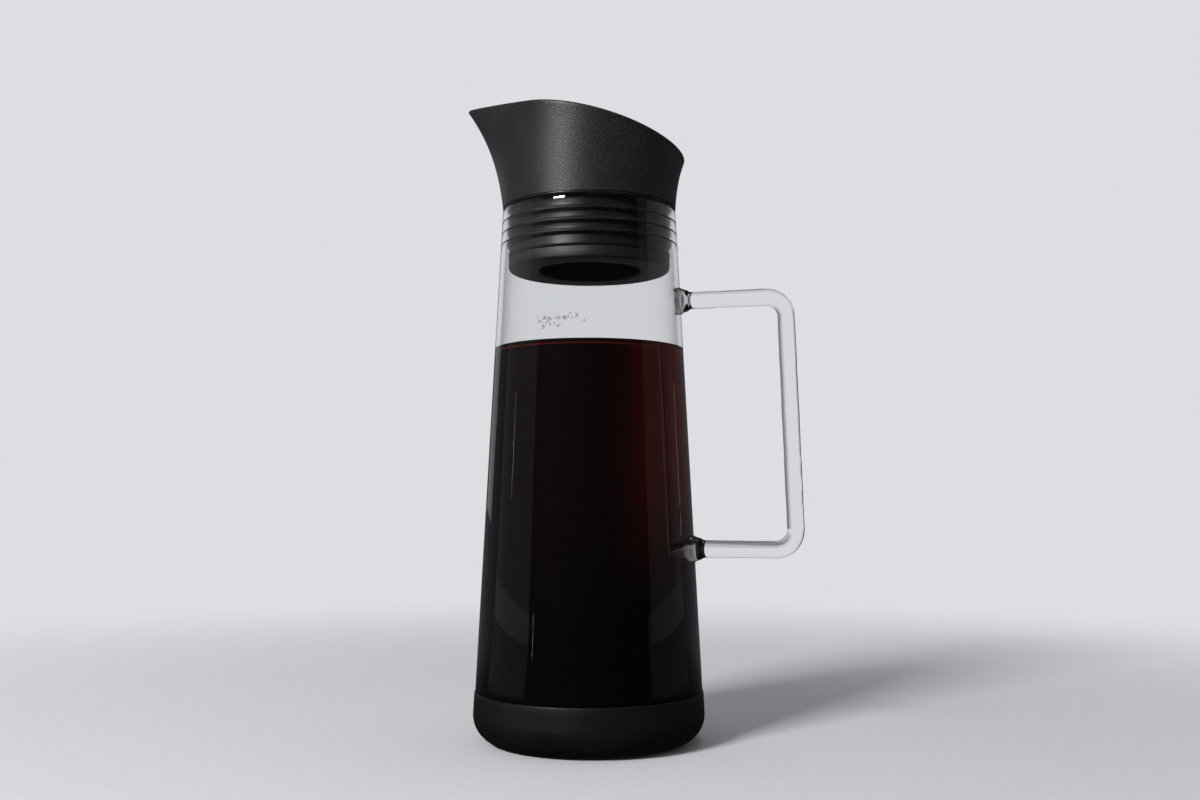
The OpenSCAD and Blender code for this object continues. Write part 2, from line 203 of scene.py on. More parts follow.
def brewSide(name, look):
    # coffee against the glass: near black and darker towards the bottom, with a painted red, light that would come
    # through it, which rises and grows towards the handle, a painted glow there, a thin red line and a dark band at
    # its edge; heights and sides are in millimetres
    f = Finish(name)
    where = f.place()
    side, height = (part * 1000 for part in f.axes(where, "XZ"))
    cloud = f.noise(where, look["clouds"], 2)
    # painted light: the colour turns red higher up and towards the handle, where light would come through from the
    # far side
    share = height.between(*look["paintedThroughZ"]) * side.between(*look["paintedThroughX"]) ** 2 * (0.6 + cloud * 0.8)
    colour = f.blend(height.between(*look["deepZ"]), look["low"], look["deep"])
    colour = f.blend(share, colour, look["paintedThroughRed"])
    # painted glow, higher up and towards the handle
    glow = f.blend(height.between(*look["paintedGlowZ"]) * side.between(*look["paintedGlowX"]), (0, 0, 0), look["glow"])
    edge = look["edge"]
    line = height.between(edge - 1.0, edge - 0.7) * (1 - height.between(edge - 0.4, edge - 0.1))
    colour = f.blend(height.between(edge - 0.6, edge), colour, look["band"])
    colour = f.blend(line, colour, look["line"])
    return f.close(f.node("ShaderNodeBsdfPrincipled", {}, {
        "Base Color": colour, "Roughness": look["rough"], "IOR": look["ior"], "Specular IOR Level": look["shine"],
        "Emission Color": glow, "Emission Strength": 1.0,  # painted glow: emission in place of light that comes through from the far side
        "Subsurface Weight": 1.0, "Subsurface Radius": look["reach"], "Subsurface Scale": 1.0}))


def brewTop(name, look):
    # the open surface of the coffee, mirror smooth
    f = Finish(name)
    ripple = f.noise(f.place(), look["ripples"], 1)
    colour = f.blend(ripple.between(0.3, 0.7), look["deep"], look["top"])
    return f.close(f.node("ShaderNodeBsdfPrincipled", {}, {
        "Base Color": colour, "Roughness": look["topRough"], "IOR": look["ior"],
        "Normal": f.bump(ripple, look["rippleDepth"])}))


def brushedSteel(name, look):
    # steel with fine lines drawn along the pin
    f = Finish(name)
    lines = f.noise(f.place(look["stretch"]), look["lines"], 3)
    colour = f.blend(lines.between(0.3, 0.7), look["colour"], look["paler"])
    return f.close(f.node("ShaderNodeBsdfPrincipled", {}, {
        "Base Color": colour, "Metallic": 1.0, "Roughness": look["rough"] + lines * look["lineRough"],
        "Normal": f.bump(lines, look["depth"])}))


def wovenSteel(name, look):
    # stainless wire cloth: wires round the tube and along it, |sin| of the turn and of the height, which
    # pass over and under each other where the two sines have the same sign or not
    f = Finish(name)
    x, y, z = f.axes(f.place())
    across = (y.angle(x) * look["wires"] / 2).sine()
    along = (z * (math.pi / (look["pitch"] * mm))).sine()
    standing, lying = 1 - across.size(), 1 - along.size()  # 1 on the middle of a wire
    over = across * along > 0
    height = standing * (1 - look["under"] + over * look["under"]) + lying * (1 - over * look["under"])
    solid = standing.larger(lying).between(look["open"], look["open"] + look["soft"])
    # painted shade: the wires' colour is darker where they dip under each other, paler on their tops
    colour = f.blend(height.between(*look["paintedShadeFrom"]), look["colour"], look["paler"])
    return f.close(f.node("ShaderNodeBsdfPrincipled", {}, {
        "Base Color": colour, "Metallic": 1.0, "Roughness": look["rough"] - height * look["topRough"],
        "Alpha": solid, "Normal": f.bump(height, look["depth"])}))


# values that all the moulded plastics share, and those that both rubbers share
# the moulded plastics' pale speck colour is a painted glint
moulded = {"clouds": 26, "paintedGlintScale": 2600, "paintedGlintFrom": (0.66, 0.74), "paintedGlintColour": (0.32, 0.32, 0.34),
           "grainRough": 0.22, "cloudRough": 0.08, "ior": 1.5}
satin = {"finer": 900, "broader": 42, "specks": 1700, "dustFrom": (0.73, 0.79), "dustColour": (0.3, 0.3, 0.32),
         "broadRough": 0.12, "fineRough": 0.06, "depth": 0.004, "ior": 1.43}

blackLid = {**moulded, "colour": (0.009, 0.009, 0.0095), "paler": (0.013, 0.013, 0.014), "grain": 0.75,
            "paintedGlint": 0.3, "rough": 0.42, "shine": 0.36, "depth": 0.09}
blackStopper = {**moulded, "colour": (0.010, 0.010, 0.011), "paler": (0.016, 0.016, 0.017), "grain": 0.5,
                "paintedGlint": 0.12, "rough": 0.42, "shine": 0.3, "depth": 0.012}
blackFilter = {**moulded, "colour": (0.013, 0.013, 0.014), "paler": (0.02, 0.02, 0.021), "grain": 0.6,
               "paintedGlint": 0.15, "rough": 0.48, "shine": 0.5, "depth": 0.014}
sleeveRubber = {**satin, "colour": (0.003, 0.003, 0.0033), "paler": (0.0052, 0.005, 0.0057), "rough": 0.45,
                "shine": 0.36, "dust": 0.02}
sealRubber = {**satin, "colour": (0.008, 0.008, 0.009), "paler": (0.013, 0.013, 0.014), "rough": 0.3,
              "shine": 0.4, "dust": 0.25}
vesselGlass = {"colour": (0.985, 0.99, 0.99), "shade": (0.9, 0.91, 0.91), "stretch": (1, 1, 0.12),
               "waves": 30, "small": 0.16, "depth": 0.06, "ior": 1.474}
rodGlass = {"colour": (0.98, 0.985, 0.985), "shade": (0.86, 0.87, 0.87), "stretch": (1, 1, 0.3),
            "waves": 70, "small": 0.0, "depth": 0.06, "ior": 1.474}
waterLook = {"colour": (0.99, 0.99, 0.99), "shade": (0.9, 0.9, 0.9), "stretch": (1, 1, 1),
             "waves": 200, "small": 0.0, "depth": 0.02, "ior": 1.33}
# the coffee's red and glow, with their heights and sides, are painted light coming through from the far side
coffeeLook = {"low": (0.0016, 0.0011, 0.0016), "deep": (0.004, 0.0014, 0.0017), "paintedThroughRed": (0.125, 0.010, 0.007),
              "glow": (0.012, 0.0006, 0.0005), "band": (0.004, 0.0022, 0.002), "line": (0.07, 0.010, 0.008),
              "top": (0.016, 0.0035, 0.003), "clouds": 18, "edge": 176.0, "deepZ": (40, 120), "paintedThroughZ": (60, 130),
              "paintedThroughX": (0, 40), "paintedGlowZ": (60, 150), "paintedGlowX": (14, 42), "reach": (0.009, 0.0012, 0.0008),
              "rough": 0.5, "shine": 0.02, "ior": 1.34, "ripples": 60, "rippleDepth": 0.01, "topRough": 0.03}
pinLook = {"stretch": (1, 0.05, 1), "lines": 300, "colour": (0.52, 0.52, 0.54), "paler": (0.68, 0.68, 0.69),
           "rough": 0.22, "lineRough": 0.16, "depth": 0.003}
# the wire cloth's dark and pale colours paint shade in its dips
meshLook = {"wires": 220, "pitch": 0.65, "under": 0.4, "open": 0.42, "soft": 0.06, "paintedShadeFrom": (0.4, 1.3),
            "colour": (0.22, 0.21, 0.2), "paler": (0.7, 0.7, 0.7), "rough": 0.42, "topRough": 0.1, "depth": 0.12}

finishes = {name: make(name, look) for name, make, look in (
    ("lidPlastic", mouldedPlastic, blackLid),
    ("stopperPlastic", mouldedPlastic, blackStopper),
    ("filterPlastic", mouldedPlastic, blackFilter),
    ("sleeveSilicone", rubber, sleeveRubber),
    ("sealSilicone", rubber, sealRubber),
    ("vesselGlass", clearGlass, vesselGlass),
    ("rodGlass", clearGlass, rodGlass),
    ("water", clearGlass, waterLook),
    ("brewSide", brewSide, coffeeLook),
    ("brewTop", brewTop, coffeeLook),
    ("pinSteel", brushedSteel, pinLook),
    ("meshSteel", wovenSteel, meshLook),
)}
print("materials ready:", len(finishes))


sharpAngle = math.radians(50)  # steeper edges stay sharp, the rest is shaded smooth


def outward(points, faces):
    # the faces, turned over if the volume inside them, the sum of a . (b x c) / 6, is negative
    volume = 0.0
    for rows in faces:
        for i in range(1, rows.shape[1] - 1):
            a, b, c = points[rows[:, 0]], points[rows[:, i]], points[rows[:, i + 1]]
            volume += np.einsum("ij,ij->i", a, np.cross(b, c)).sum()
    return [rows[:, ::-1] for rows in faces] if volume < 0 else faces


def joined(*shapes):
    # several closed shapes as one
    points, faces = [], []
    for p, rows in shapes:
        start = sum(len(q) for q in points)
        faces += [r + start for r in outward(p, rows)]
        points.append(p)
    return np.concatenate(points), faces


def makePiece(name, points, faces, finish, body, slot, replaced=(), faceSlots=None):
    # points in millimetres; faces in rows of 3 or 4
    points = np.asarray(points, float) * mm
    faces = outward(points, faces)
    mesh = bpy.data.meshes.new(name)
    mesh.from_pydata(points, [], [f for rows in faces for f in rows.tolist()])
    finish = [finish] if isinstance(finish, str) else finish
    for f in finish:
        mesh.materials.append(finishes[f])
    if faceSlots is not None:
        mesh.polygons.foreach_set("material_index", faceSlots)
    mesh.polygons.foreach_set("use_smooth", np.ones(len(mesh.polygons), bool))
    mesh.set_sharp_from_angle(angle=sharpAngle)
    mesh.update()
    piece = bpy.data.objects.new(name, mesh)
    bpy.context.scene.collection.objects.link(piece)
    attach(piece, body)
    for node in replaced:
        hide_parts(node)


def gridFaces(rows, columns, wrapRows=False):
    # quads of a grid of points, rows along the profile and columns round it, which always close
    r, c = np.meshgrid(np.arange(rows if wrapRows else rows - 1), np.arange(columns), indexing="ij")
    rNext, cNext = (r + 1) % rows, (c + 1) % columns
    return np.stack([r * columns + c, r * columns + cNext, rNext * columns + cNext, rNext * columns + c],
                    -1).reshape(-1, 4)


def rounded(corners, step):
    # a polyline of (r, z, fillet): each corner becomes an arc of that radius, tangent to both sides, whose
    # centre lies on the corner's bisector at radius / sin(half the corner's angle)
    corners = np.array(corners, float)
    out = [corners[:1, :2]]
    for before, here, after in zip(corners[:-2], corners[1:-1], corners[2:]):
        p, radius = here[:2], here[2]
        u, v = before[:2] - p, after[:2] - p
        lu, lv = np.hypot(*u), np.hypot(*v)
        u, v = u / lu, v / lv
        half = math.acos(np.clip(u @ v, -1, 1)) / 2
        if radius <= 0 or half > math.pi / 2 - 0.004:  # nothing to round, or nearly straight
            out.append(p[None])
            continue
        radius = min(radius, 0.8 * min(lu, lv) * math.tan(half))  # the arc leaves some of both sides
        centre = p + (u + v) / np.hypot(*(u + v)) * radius / math.sin(half)
        a, b = p + u * radius / math.tan(half) - centre, p + v * radius / math.tan(half) - centre
        start, turn = math.atan2(a[1], a[0]), math.atan2(a[0] * b[1] - a[1] * b[0], a @ b)
        count = max(5, int(abs(turn) * radius / step) + 2)
        angle = start + turn * np.linspace(0, 1, count)
        out.append(centre + radius * np.stack([np.cos(angle), np.sin(angle)], -1))
    out.append(corners[-1:, :2])
    return np.concatenate(out)


def spaced(profile, step):
    # the same profile with extra points, so that no stretch is longer than step
    parts = []
    for a, b in zip(profile[:-1], profile[1:]):
        count = max(1, int(np.ceil(np.hypot(*(b - a)) / step)))
        parts.append(a + (b - a) * (np.arange(count) / count)[:, None])
    parts.append(profile[-1:])
    return np.concatenate(parts)


def turned(profile, columns):
    # a profile of (r, z) turned round Z: x = r cos a, y = r sin a; ends on the axis close in a fan
    r, z = profile[:, 0], profile[:, 1]
    onAxis = (r[0] < 1e-6, r[-1] < 1e-6)
    ring = profile[int(onAxis[0]):len(profile) - int(onAxis[1])]
    angle = np.arange(columns) * 2 * math.pi / columns
    points = np.stack([ring[:, :1] * np.cos(angle), ring[:, :1] * np.sin(angle),
                       np.repeat(ring[:, 1:], columns, 1)], -1).reshape(-1, 3)
    closed = not any(onAxis)
    faces = [gridFaces(len(ring), columns, wrapRows=closed)]
    c, cNext = np.arange(columns), (np.arange(columns) + 1) % columns
    if onAxis[0]:
        points = np.concatenate([points, [[0, 0, z[0]]]])
        faces.append(np.stack([cNext, c, np.full(columns, len(points) - 1)], -1))
    if onAxis[1]:
        points = np.concatenate([points, [[0, 0, z[-1]]]])
        last = (len(ring) - 1) * columns
        faces.append(np.stack([last + c, last + cNext, np.full(columns, len(points) - 1)], -1))
    return points, faces


def capped(rings):
    # closed rings of points, one row each, joined to a tube whose ends are closed to their middles
    rows, columns = rings.shape[:2]
    points = np.concatenate([rings.reshape(-1, 3), rings[[0, -1]].mean(1)])
    c, cNext = np.arange(columns), (np.arange(columns) + 1) % columns
    last = (rows - 1) * columns
    return points, [gridFaces(rows, columns), np.stack([cNext, c, np.full(columns, rows * columns)], -1),
                    np.stack([last + c, last + cNext, np.full(columns, rows * columns + 1)], -1)]


def slab(outline, low, high, edge, axis):
    # an outline pushed from low to high along an axis, its edges rounded by shrinking it about its middle
    turn = np.linspace(0, math.pi / 2, 6)
    inset = np.concatenate([1 - np.sin(turn), 1 - np.cos(turn)]) * edge
    height = np.concatenate([low + edge * (1 - np.cos(turn)), high - edge * (1 - np.sin(turn))])
    middle = outline.mean(0)
    size = np.hypot(*(outline - middle).T)[:, None]
    rings = [np.insert(middle + (outline - middle) * np.maximum(1 - i / size, 0), axis, h, 1)
             for i, h in zip(inset, height)]
    return capped(np.stack(rings))


def circle(x, y, r, start=0, end=360, count=48):
    # x + r cos a, y + r sin a, without its last point where it closes
    a = np.radians(np.linspace(start, end, count, endpoint=end - start < 360))
    return np.stack([x + r * np.cos(a), y + r * np.sin(a)], -1)


# footR is the radius that the glass's cone would reach down at skinZ, if its foot weren't rounded
vessel = {"rimZ": 241.5, "rimR": 40.2, "footR": 52.4, "skinZ": 0.4, "wall": 2.4, "glassZ": 1.2, "insideZ": 5.2,
          "curve": 12, "inset": 0.8, "sleeveTop": 22.6, "step": (1.2, 0.2), "insideCurve": 9.5, "columns": 240}
leanTan = (vessel["footR"] - vessel["rimR"]) / (vessel["rimZ"] - vessel["skinZ"])
lean = math.atan(leanTan)


def sideR(z):
    # outside radius of the glass at height z, a cone: the foot's radius less the height times the lean
    return vessel["footR"] - (z - vessel["skinZ"]) * leanTan


def makeCarafe(v):
    # one closed profile turned round Z: under the floor, up the cone, which is set back inside the sleeve,
    # over the round rim, and down the inside
    top, low = v["rimZ"], v["glassZ"]
    inset = v["inset"] / math.cos(lean)
    stepLow, stepTop = (v["sleeveTop"] - below for below in v["step"])
    outside = [(0, low, 0), (sideR(low) - inset, low, v["curve"] - v["inset"]),
               (sideR(stepLow) - inset, stepLow, 0.4), (sideR(stepTop), stepTop, 0.4)]
    rimCurve = v["wall"] / 2 * 0.98
    rim = [(sideR(top), top, rimCurve), (sideR(top) - v["wall"], top, rimCurve)]
    inside = [(sideR(v["insideZ"]) - v["wall"], v["insideZ"], v["insideCurve"]), (0, v["insideZ"], 0)]
    profile = spaced(rounded(outside + rim + inside, 0.4), 3.0)
    points, faces = turned(profile, v["columns"])
    makePiece("carafeGlass", points, faces, "vesselGlass", "carafe_body", "carafe_glass", ["carafe"])


makeCarafe(vessel)


brew = {"level": 176.0, "climb": 1.5, "reach": 2.2, "bite": 0.12, "columns": 200}


def makeCoffee(b, v):
    # fills the glass up to the level, and bites into it, so that no air lies between the two; towards the
    # wall its surface climbs by climb times exp(-distance / reach)
    low, top = v["insideZ"] - b["bite"], b["level"] + b["climb"]
    wallR = sideR(top) - v["wall"] + b["bite"]
    side = rounded([(0, low, 0), (sideR(low) - v["wall"] + b["bite"], low, v["insideCurve"]), (wallR, top, 0)], 0.4)
    away = np.linspace(0, 1, 40) ** 2.2  # the rings crowd at the wall
    surface = np.stack([wallR * (1 - away), b["level"] + b["climb"] * np.exp(-wallR * away / b["reach"])], -1)[1:]
    surface[-1, 0] = 0
    side = spaced(side, 4.0)
    points, faces = turned(np.concatenate([side, surface]), b["columns"])
    onTop = (np.arange(len(faces[0])) // b["columns"] >= len(side) - 2).astype(int)
    fans = np.repeat([0, 1], b["columns"])  # the one under the floor, and the one in the surface's middle
    makePiece("coffee", points, faces, ["brewSide", "brewTop"], "carafe_body", None, (),
              np.concatenate([onTop, fans]))


makeCoffee(brew, vessel)


# a patch of beads that starts at x, z, and the drops under the ring, each as x, y, radius
drops = {"seed": 11, "count": 46, "from": (-22, 184.5), "spread": (11, 1.5), "slope": 0.12, "size": (0.22, 0.75),
         "flat": 0.45, "tall": 1.15, "hangZ": 213.4, "hangTall": 0.8,
         "hanging": ((4, 36.9, 0.7), (14, 34.6, 0.9), (18, 32.8, 0.6), (21, 30.9, 0.8))}


def makeDrops(d, v):
    # flattened half beads of water on the inside of the glass, in a loose patch, and a few under the stopper:
    # each a small ball, cos and sin of its height and its turn, drawn out along three directions
    random = np.random.default_rng(d["seed"])
    x = d["from"][0] + np.abs(random.normal(0, 1, d["count"])) * d["spread"][0]
    z = d["from"][1] + random.normal(0, 1, d["count"]) * d["spread"][1] + (x - d["from"][0]) * d["slope"]
    r = d["size"][0] + (d["size"][1] - d["size"][0]) * random.random(d["count"]) ** 3
    wall = sideR(z) - v["wall"]
    a = np.arcsin(x / wall)
    outs = np.stack([np.sin(a), -np.cos(a), np.zeros_like(a)], -1)
    middles = outs * wall[:, None] + np.array([0, 0, 1]) * z[:, None]
    low, turn = np.meshgrid(np.linspace(0, math.pi, 7)[1:-1], np.arange(10) * math.pi / 5, indexing="ij")
    across, up = (np.sin(low) * np.cos(turn))[..., None], (np.sin(low) * np.sin(turn))[..., None]
    beads = []
    for middle, out, size in zip(middles, outs, r):
        along = np.cross(out, (0, 0, 1))
        bead = np.cos(low)[..., None] * out * d["flat"] + across * along + up * np.array([0, 0, d["tall"]])
        beads.append(capped(middle + bead * size))
    ball = np.concatenate([across, up, np.cos(low)[..., None] * d["hangTall"]], -1)
    hanging = [capped(np.array([x, y, d["hangZ"]]) + ball * size) for x, y, size in d["hanging"]]
    makePiece("waterBeads", *joined(*beads), "water", "carafe_body", None)
    makePiece("stopperDrops", *joined(*hanging), "water", "lid", None)


makeDrops(drops, vessel)


sleeve = {"proud": 0.4, "lip": 0.55, "gap": 0.03}


def makeSleeve(s, v):
    # the glass's outline moved out by proud, and back along the glass with a hair's gap
    top, low, gap = v["sleeveTop"], v["glassZ"] - s["gap"], s["gap"]
    proud, inset = s["proud"] / math.cos(lean), v["inset"] / math.cos(lean)
    profile = rounded([(0, 0, 0), (sideR(0) + proud, 0, v["curve"] + s["proud"]), (sideR(top) + proud, top, s["lip"]),
                       (sideR(top) - inset + gap, top, s["lip"]),
                       (sideR(v["glassZ"]) - inset + gap, low, v["curve"] - v["inset"]), (0, low, 0)], 0.3)
    points, faces = turned(spaced(profile, 2.5), v["columns"])
    makePiece("baseSleeve", points, faces, "sleeveSilicone", "carafe_body", "base_silicone", ["base_sleeve"])


makeSleeve(sleeve, vessel)
print("carafe, coffee and sleeve ready")


# the ring is a swelling at ringAt along the rod; each ripple is a height, radians per millimetre and a start
rod = {"r": 3.8, "topZ": 198.2, "lowZ": 86.3, "gapTop": 44.6, "gapLow": 42.7, "bend": 9, "bead": 6.2, "beadL": 6.5,
       "beadPower": 1.6, "ring": 0.6, "ringAt": 3.9, "ringL": 1.2, "ripples": ((0.05, 0.21, 0), (0.03, 0.53, 1)),
       "leanL": 2.5, "weld": 0.05, "turn": -16, "sides": 40}


def rodPath(h):
    # centre line in the handle's plane: out along the upper arm, round a bend, down the grip, round, and back
    gripTop = sideR(h["topZ"]) + h["gapTop"] + h["r"]
    gripLow = sideR(h["lowZ"]) + h["gapLow"] + h["r"]
    corners = [(sideR(h["topZ"]), h["topZ"], 0), (gripTop, h["topZ"], h["bend"]),
               (gripLow, h["lowZ"], h["bend"]), (sideR(h["lowZ"]), h["lowZ"], 0)]
    return spaced(rounded(corners, 0.6), 0.7)


def makeHandle(h):
    # a circle carried along the path: path + radius (cos t across the way, sin t out of the plane); the
    # radius swells to the bead by half a cosine, with a ring, and the drawn rod waves a little
    path = rodPath(h)
    run = np.concatenate([[0], np.cumsum(np.hypot(*np.diff(path, axis=0).T))])
    away = np.minimum(run, run[-1] - run)
    swell = np.where(away < h["beadL"], (1 + np.cos(math.pi * np.minimum(away / h["beadL"], 1))) / 2, 0)
    ring = h["ring"] * np.exp(-((away - h["ringAt"]) / h["ringL"]) ** 2) * (away > 0.5)
    radius = h["r"] + (h["bead"] - h["r"]) * swell ** h["beadPower"] + ring
    for height, often, start in h["ripples"]:
        radius = radius + height * np.sin(run * often + start)
    way = np.gradient(path, axis=0)
    way /= np.hypot(way[:, 0], way[:, 1])[:, None]
    t = np.arange(h["sides"]) * 2 * math.pi / h["sides"]
    side = np.outer(radius, np.sin(t))
    out = np.outer(radius, np.cos(t))
    x = path[:, :1] - way[:, 1:] * out
    z = path[:, 1:] + way[:, :1] * out
    # over leanL at the ends the rings lean onto the round glass: x moves by how far the glass falls back
    # there, and the last ring sinks in by weld
    surface = np.sqrt(sideR(z) ** 2 - side ** 2) - sideR(path[:, 1:])
    away = away[:, None]
    x = x + surface * np.exp(-(away / h["leanL"]) ** 2) - h["weld"] * (away < 0.01)
    c, s = math.cos(math.radians(h["turn"])), math.sin(math.radians(h["turn"]))
    points, faces = capped(np.stack([x * c - side * s, x * s + side * c, z], -1))
    makePiece("rodHandle", points, faces, "rodGlass", "carafe_body", "handle_glass", ["handle"])


makeHandle(rod)
print("handle ready")


spoutLid = {"z": 242.7, "rimR": 40.2, "tipH": 49, "backH": 25.2, "crown": 2.8, "spoutOver": 16.7, "edgeOver": 2.1,
            "edgeX": 2.2, "tipSoft": 1.5, "straight": 0.35, "power": 2.5, "wall": 2.0, "columns": 288, "levels": 44,
            "crowd": 1.35}


def edgeReach(a, s):
    # distance of the edge from the axis in direction a (degrees): a circle round edgeX, and two lines that
    # touch it and meet at the tip, whose corner is softened as the root of angle squared plus tipSoft squared
    edgeR, reach = s["rimR"] + s["edgeOver"], s["rimR"] + s["spoutOver"]
    sharp = math.asin(edgeR / (reach + s["edgeX"]))
    apex = reach * math.sin(sharp + math.radians(s["tipSoft"])) / math.sin(sharp)
    tip = math.asin(edgeR / (apex + s["edgeX"]))
    touch = math.degrees(math.atan(edgeR * math.cos(tip) / (edgeR * math.sin(tip) - s["edgeX"])))
    ar = np.radians(a)
    corner = np.radians(np.sqrt((180 - a) ** 2 + s["tipSoft"] ** 2))
    line = apex * math.sin(tip) / np.sin(tip + corner)
    back = s["edgeX"] * np.cos(ar) + np.sqrt(edgeR ** 2 - (s["edgeX"] * np.sin(ar)) ** 2)
    return np.where(np.abs(180 - a) < touch, line, back)


def makeLidShell(s, v):
    # columns crowd at the tip; each runs up the outside, round the edge by a half circle, and down the inside.
    # u goes from 0 at the tip to 1 at the back, where the edge's height goes from tipH to backH with a crown
    # of 4 u (1 - u); the radius grows with the height as straight times rise, and the rest times rise ** power
    t = (np.arange(s["columns"]) + 0.5) / s["columns"] * 2 - 1
    a = 180 + 180 * np.sign(t) * np.abs(t) ** s["crowd"]
    reach = edgeReach(a, s)
    ar = np.radians(a)
    spoutR, edgeR = s["rimR"] + s["spoutOver"], s["rimR"] + s["edgeOver"]
    u = (reach * np.cos(ar) + spoutR) / (spoutR + edgeR + s["edgeX"])
    high = v["rimZ"] - s["z"] + s["tipH"] + (s["backH"] - s["tipH"]) * u + s["crown"] * 4 * u * (1 - u)
    up = np.linspace(0, 1, s["levels"])
    turn = np.linspace(0, math.pi, 13)[1:-1]
    rise = np.concatenate([up, np.ones(len(turn)), up[::-1]])
    inward = np.concatenate([np.zeros(s["levels"]), s["wall"] / 2 * (1 - np.cos(turn)),
                             np.full(s["levels"], s["wall"])])
    lift = np.concatenate([np.zeros(s["levels"]), s["wall"] / 2 * np.sin(turn), np.zeros(s["levels"])])
    flare = s["straight"] * rise + (1 - s["straight"]) * rise ** s["power"]
    r = s["rimR"] + flare[:, None] * (reach - s["rimR"]) - inward[:, None]
    z = s["z"] + rise[:, None] * (high - s["wall"] / 2) + lift[:, None]
    points = np.stack([r * np.cos(ar), r * np.sin(ar), z], -1).reshape(-1, 3)
    faces = [gridFaces(len(rise), s["columns"], wrapRows=True)]
    makePiece("lidShell", points, faces, "lidPlastic", "lid", "lid_plastic", ["lid_shell"])


makeLidShell(spoutLid, vessel)


sealRing = {"inR": 33.0, "skinR": 36.6, "root": 2.8, "tip": 0.7, "middles": (235.6, 230.4, 225.2), "touch": 0.1,
            "lipR": 39.8, "lipTop": 242.68, "lipH": 1.0, "lowZ": 218.7, "cuffTop": 223.7, "cuffR": 37.7, "edge": 1.2,
            "columns": 240}


def makeSeal(s, v):
    # a thick sleeve on the stopper: a lip over the rim, fins that taper to the glass, and a cuff that flares
    # out downwards to a rounded edge
    corners = [(s["inR"], s["lipTop"], 0), (s["lipR"], s["lipTop"], 0.3),
               (s["lipR"], s["lipTop"] - s["lipH"], 0.4), (s["skinR"], s["lipTop"] - s["lipH"], 0.5)]
    for z in s["middles"]:
        tipR = sideR(z) - v["wall"] + s["touch"]
        corners += [(s["skinR"], z + s["root"] / 2, 0.5), (tipR, z + s["tip"] / 2, 0.3),
                    (tipR, z - s["tip"] / 2, 0.3), (s["skinR"], z - s["root"] / 2, 0.5)]
    corners += [(s["skinR"], s["cuffTop"], 2.5), (s["cuffR"], s["lowZ"] + s["edge"] * 0.9, s["edge"]),
                (s["cuffR"] - 0.5, s["lowZ"], s["edge"]), (s["inR"], s["lowZ"], 0)]
    points, faces = turned(rounded(corners, 0.12), s["columns"])
    makePiece("finSeal", points, faces, "sealSilicone", "lid", "seal_silicone", ["lid_seal"])


makeSeal(sealRing, vessel)

retainer = {"inR": 24.0, "outR": 37.4, "lowZ": 213.5, "topZ": 218.68, "spigotR": 28.3, "spigotTop": 223.2,
            "columns": 240}


def makeRetainer(s):
    # the ring that holds the seal on the stopper, with its spigot up the tube: a closed profile turned
    # round Z, begun in the middle of its bore, as all the closed profiles here are
    middle = (s["lowZ"] + s["topZ"]) / 2
    profile = rounded([(s["inR"], middle, 0), (s["inR"], s["spigotTop"], 0.5),
                       (s["spigotR"], s["spigotTop"], 0.5), (s["spigotR"], s["topZ"], 0),
                       (s["outR"], s["topZ"], 0.4), (s["outR"], s["lowZ"], 0.9), (s["inR"], s["lowZ"], 1.0),
                       (s["inR"], middle - 0.5, 0)], 0.2)
    points, faces = turned(profile, s["columns"])
    makePiece("sealRing", points, faces, "stopperPlastic", "lid", "stopper_plastic", ["seal_retainer"])


makeRetainer(retainer)
print("lid, seal and ring ready")


stopper = {"outR": 33.0, "wellR": 28.5, "boreR": 16.0, "seatR": 17.6, "lowZ": 218.7, "floorZ": 225.0,
           "floorTop": 227.5, "seatZ": 228.3, "flangeZ": 242.7, "flangeTop": 245.2, "flangeR": 38.0,
           "hinge": (24.3, 230.6), "knuckle": 2.3, "ears": (6.2, 8.8), "earEdge": 0.3, "columns": 192}


def makeStopper(s):
    # the tube, its flange, the valve's floor with a raised seat, and two ears for the pin
    middle = (s["floorZ"] + s["seatZ"]) / 2
    body = turned(rounded([
        (s["boreR"], middle, 0), (s["boreR"], s["seatZ"], 0.35), (s["seatR"], s["seatZ"], 0.35),
        (s["seatR"], s["floorTop"], 0.3), (s["wellR"], s["floorTop"], 1.2), (s["wellR"], s["flangeTop"], 0.8),
        (s["flangeR"], s["flangeTop"], 0.8), (s["flangeR"], s["flangeZ"], 0.3), (s["outR"], s["flangeZ"], 0),
        (s["outR"], s["lowZ"], 0.5), (s["wellR"], s["lowZ"], 0.4), (s["wellR"], s["floorZ"], 0.8),
        (s["boreR"], s["floorZ"], 1.0), (s["boreR"], middle - 0.3, 0)], 0.2), s["columns"])
    x, z = s["hinge"]
    low = s["floorTop"] - 0.05  # the ears stand in the floor by a hair
    outline = np.concatenate([circle(x, z, s["knuckle"], 0, 180, 25),
                              [(x - s["knuckle"], low), (x + s["knuckle"], low)]])
    outline = spaced(np.concatenate([outline, outline[:1]]), 0.5)[:-1]
    ears = [slab(outline, *ends, s["earEdge"], 1) for ends in (s["ears"], [-v for v in s["ears"][::-1]])]
    makePiece("stopperCore", *joined(body, *ears), "stopperPlastic", "lid", "stopper_plastic", ["lid_core"])


makeStopper(stopper)

flap = {"r": 20.5, "z": 229.7, "top": 231.5, "bossR": 15.2, "bossZ": 229.1, "armW": 12.0, "armL": 12.0, "edge": 0.3,
        "pinR": 1.0, "pinL": 17.7, "pinEdge": 0.25, "columns": 144}


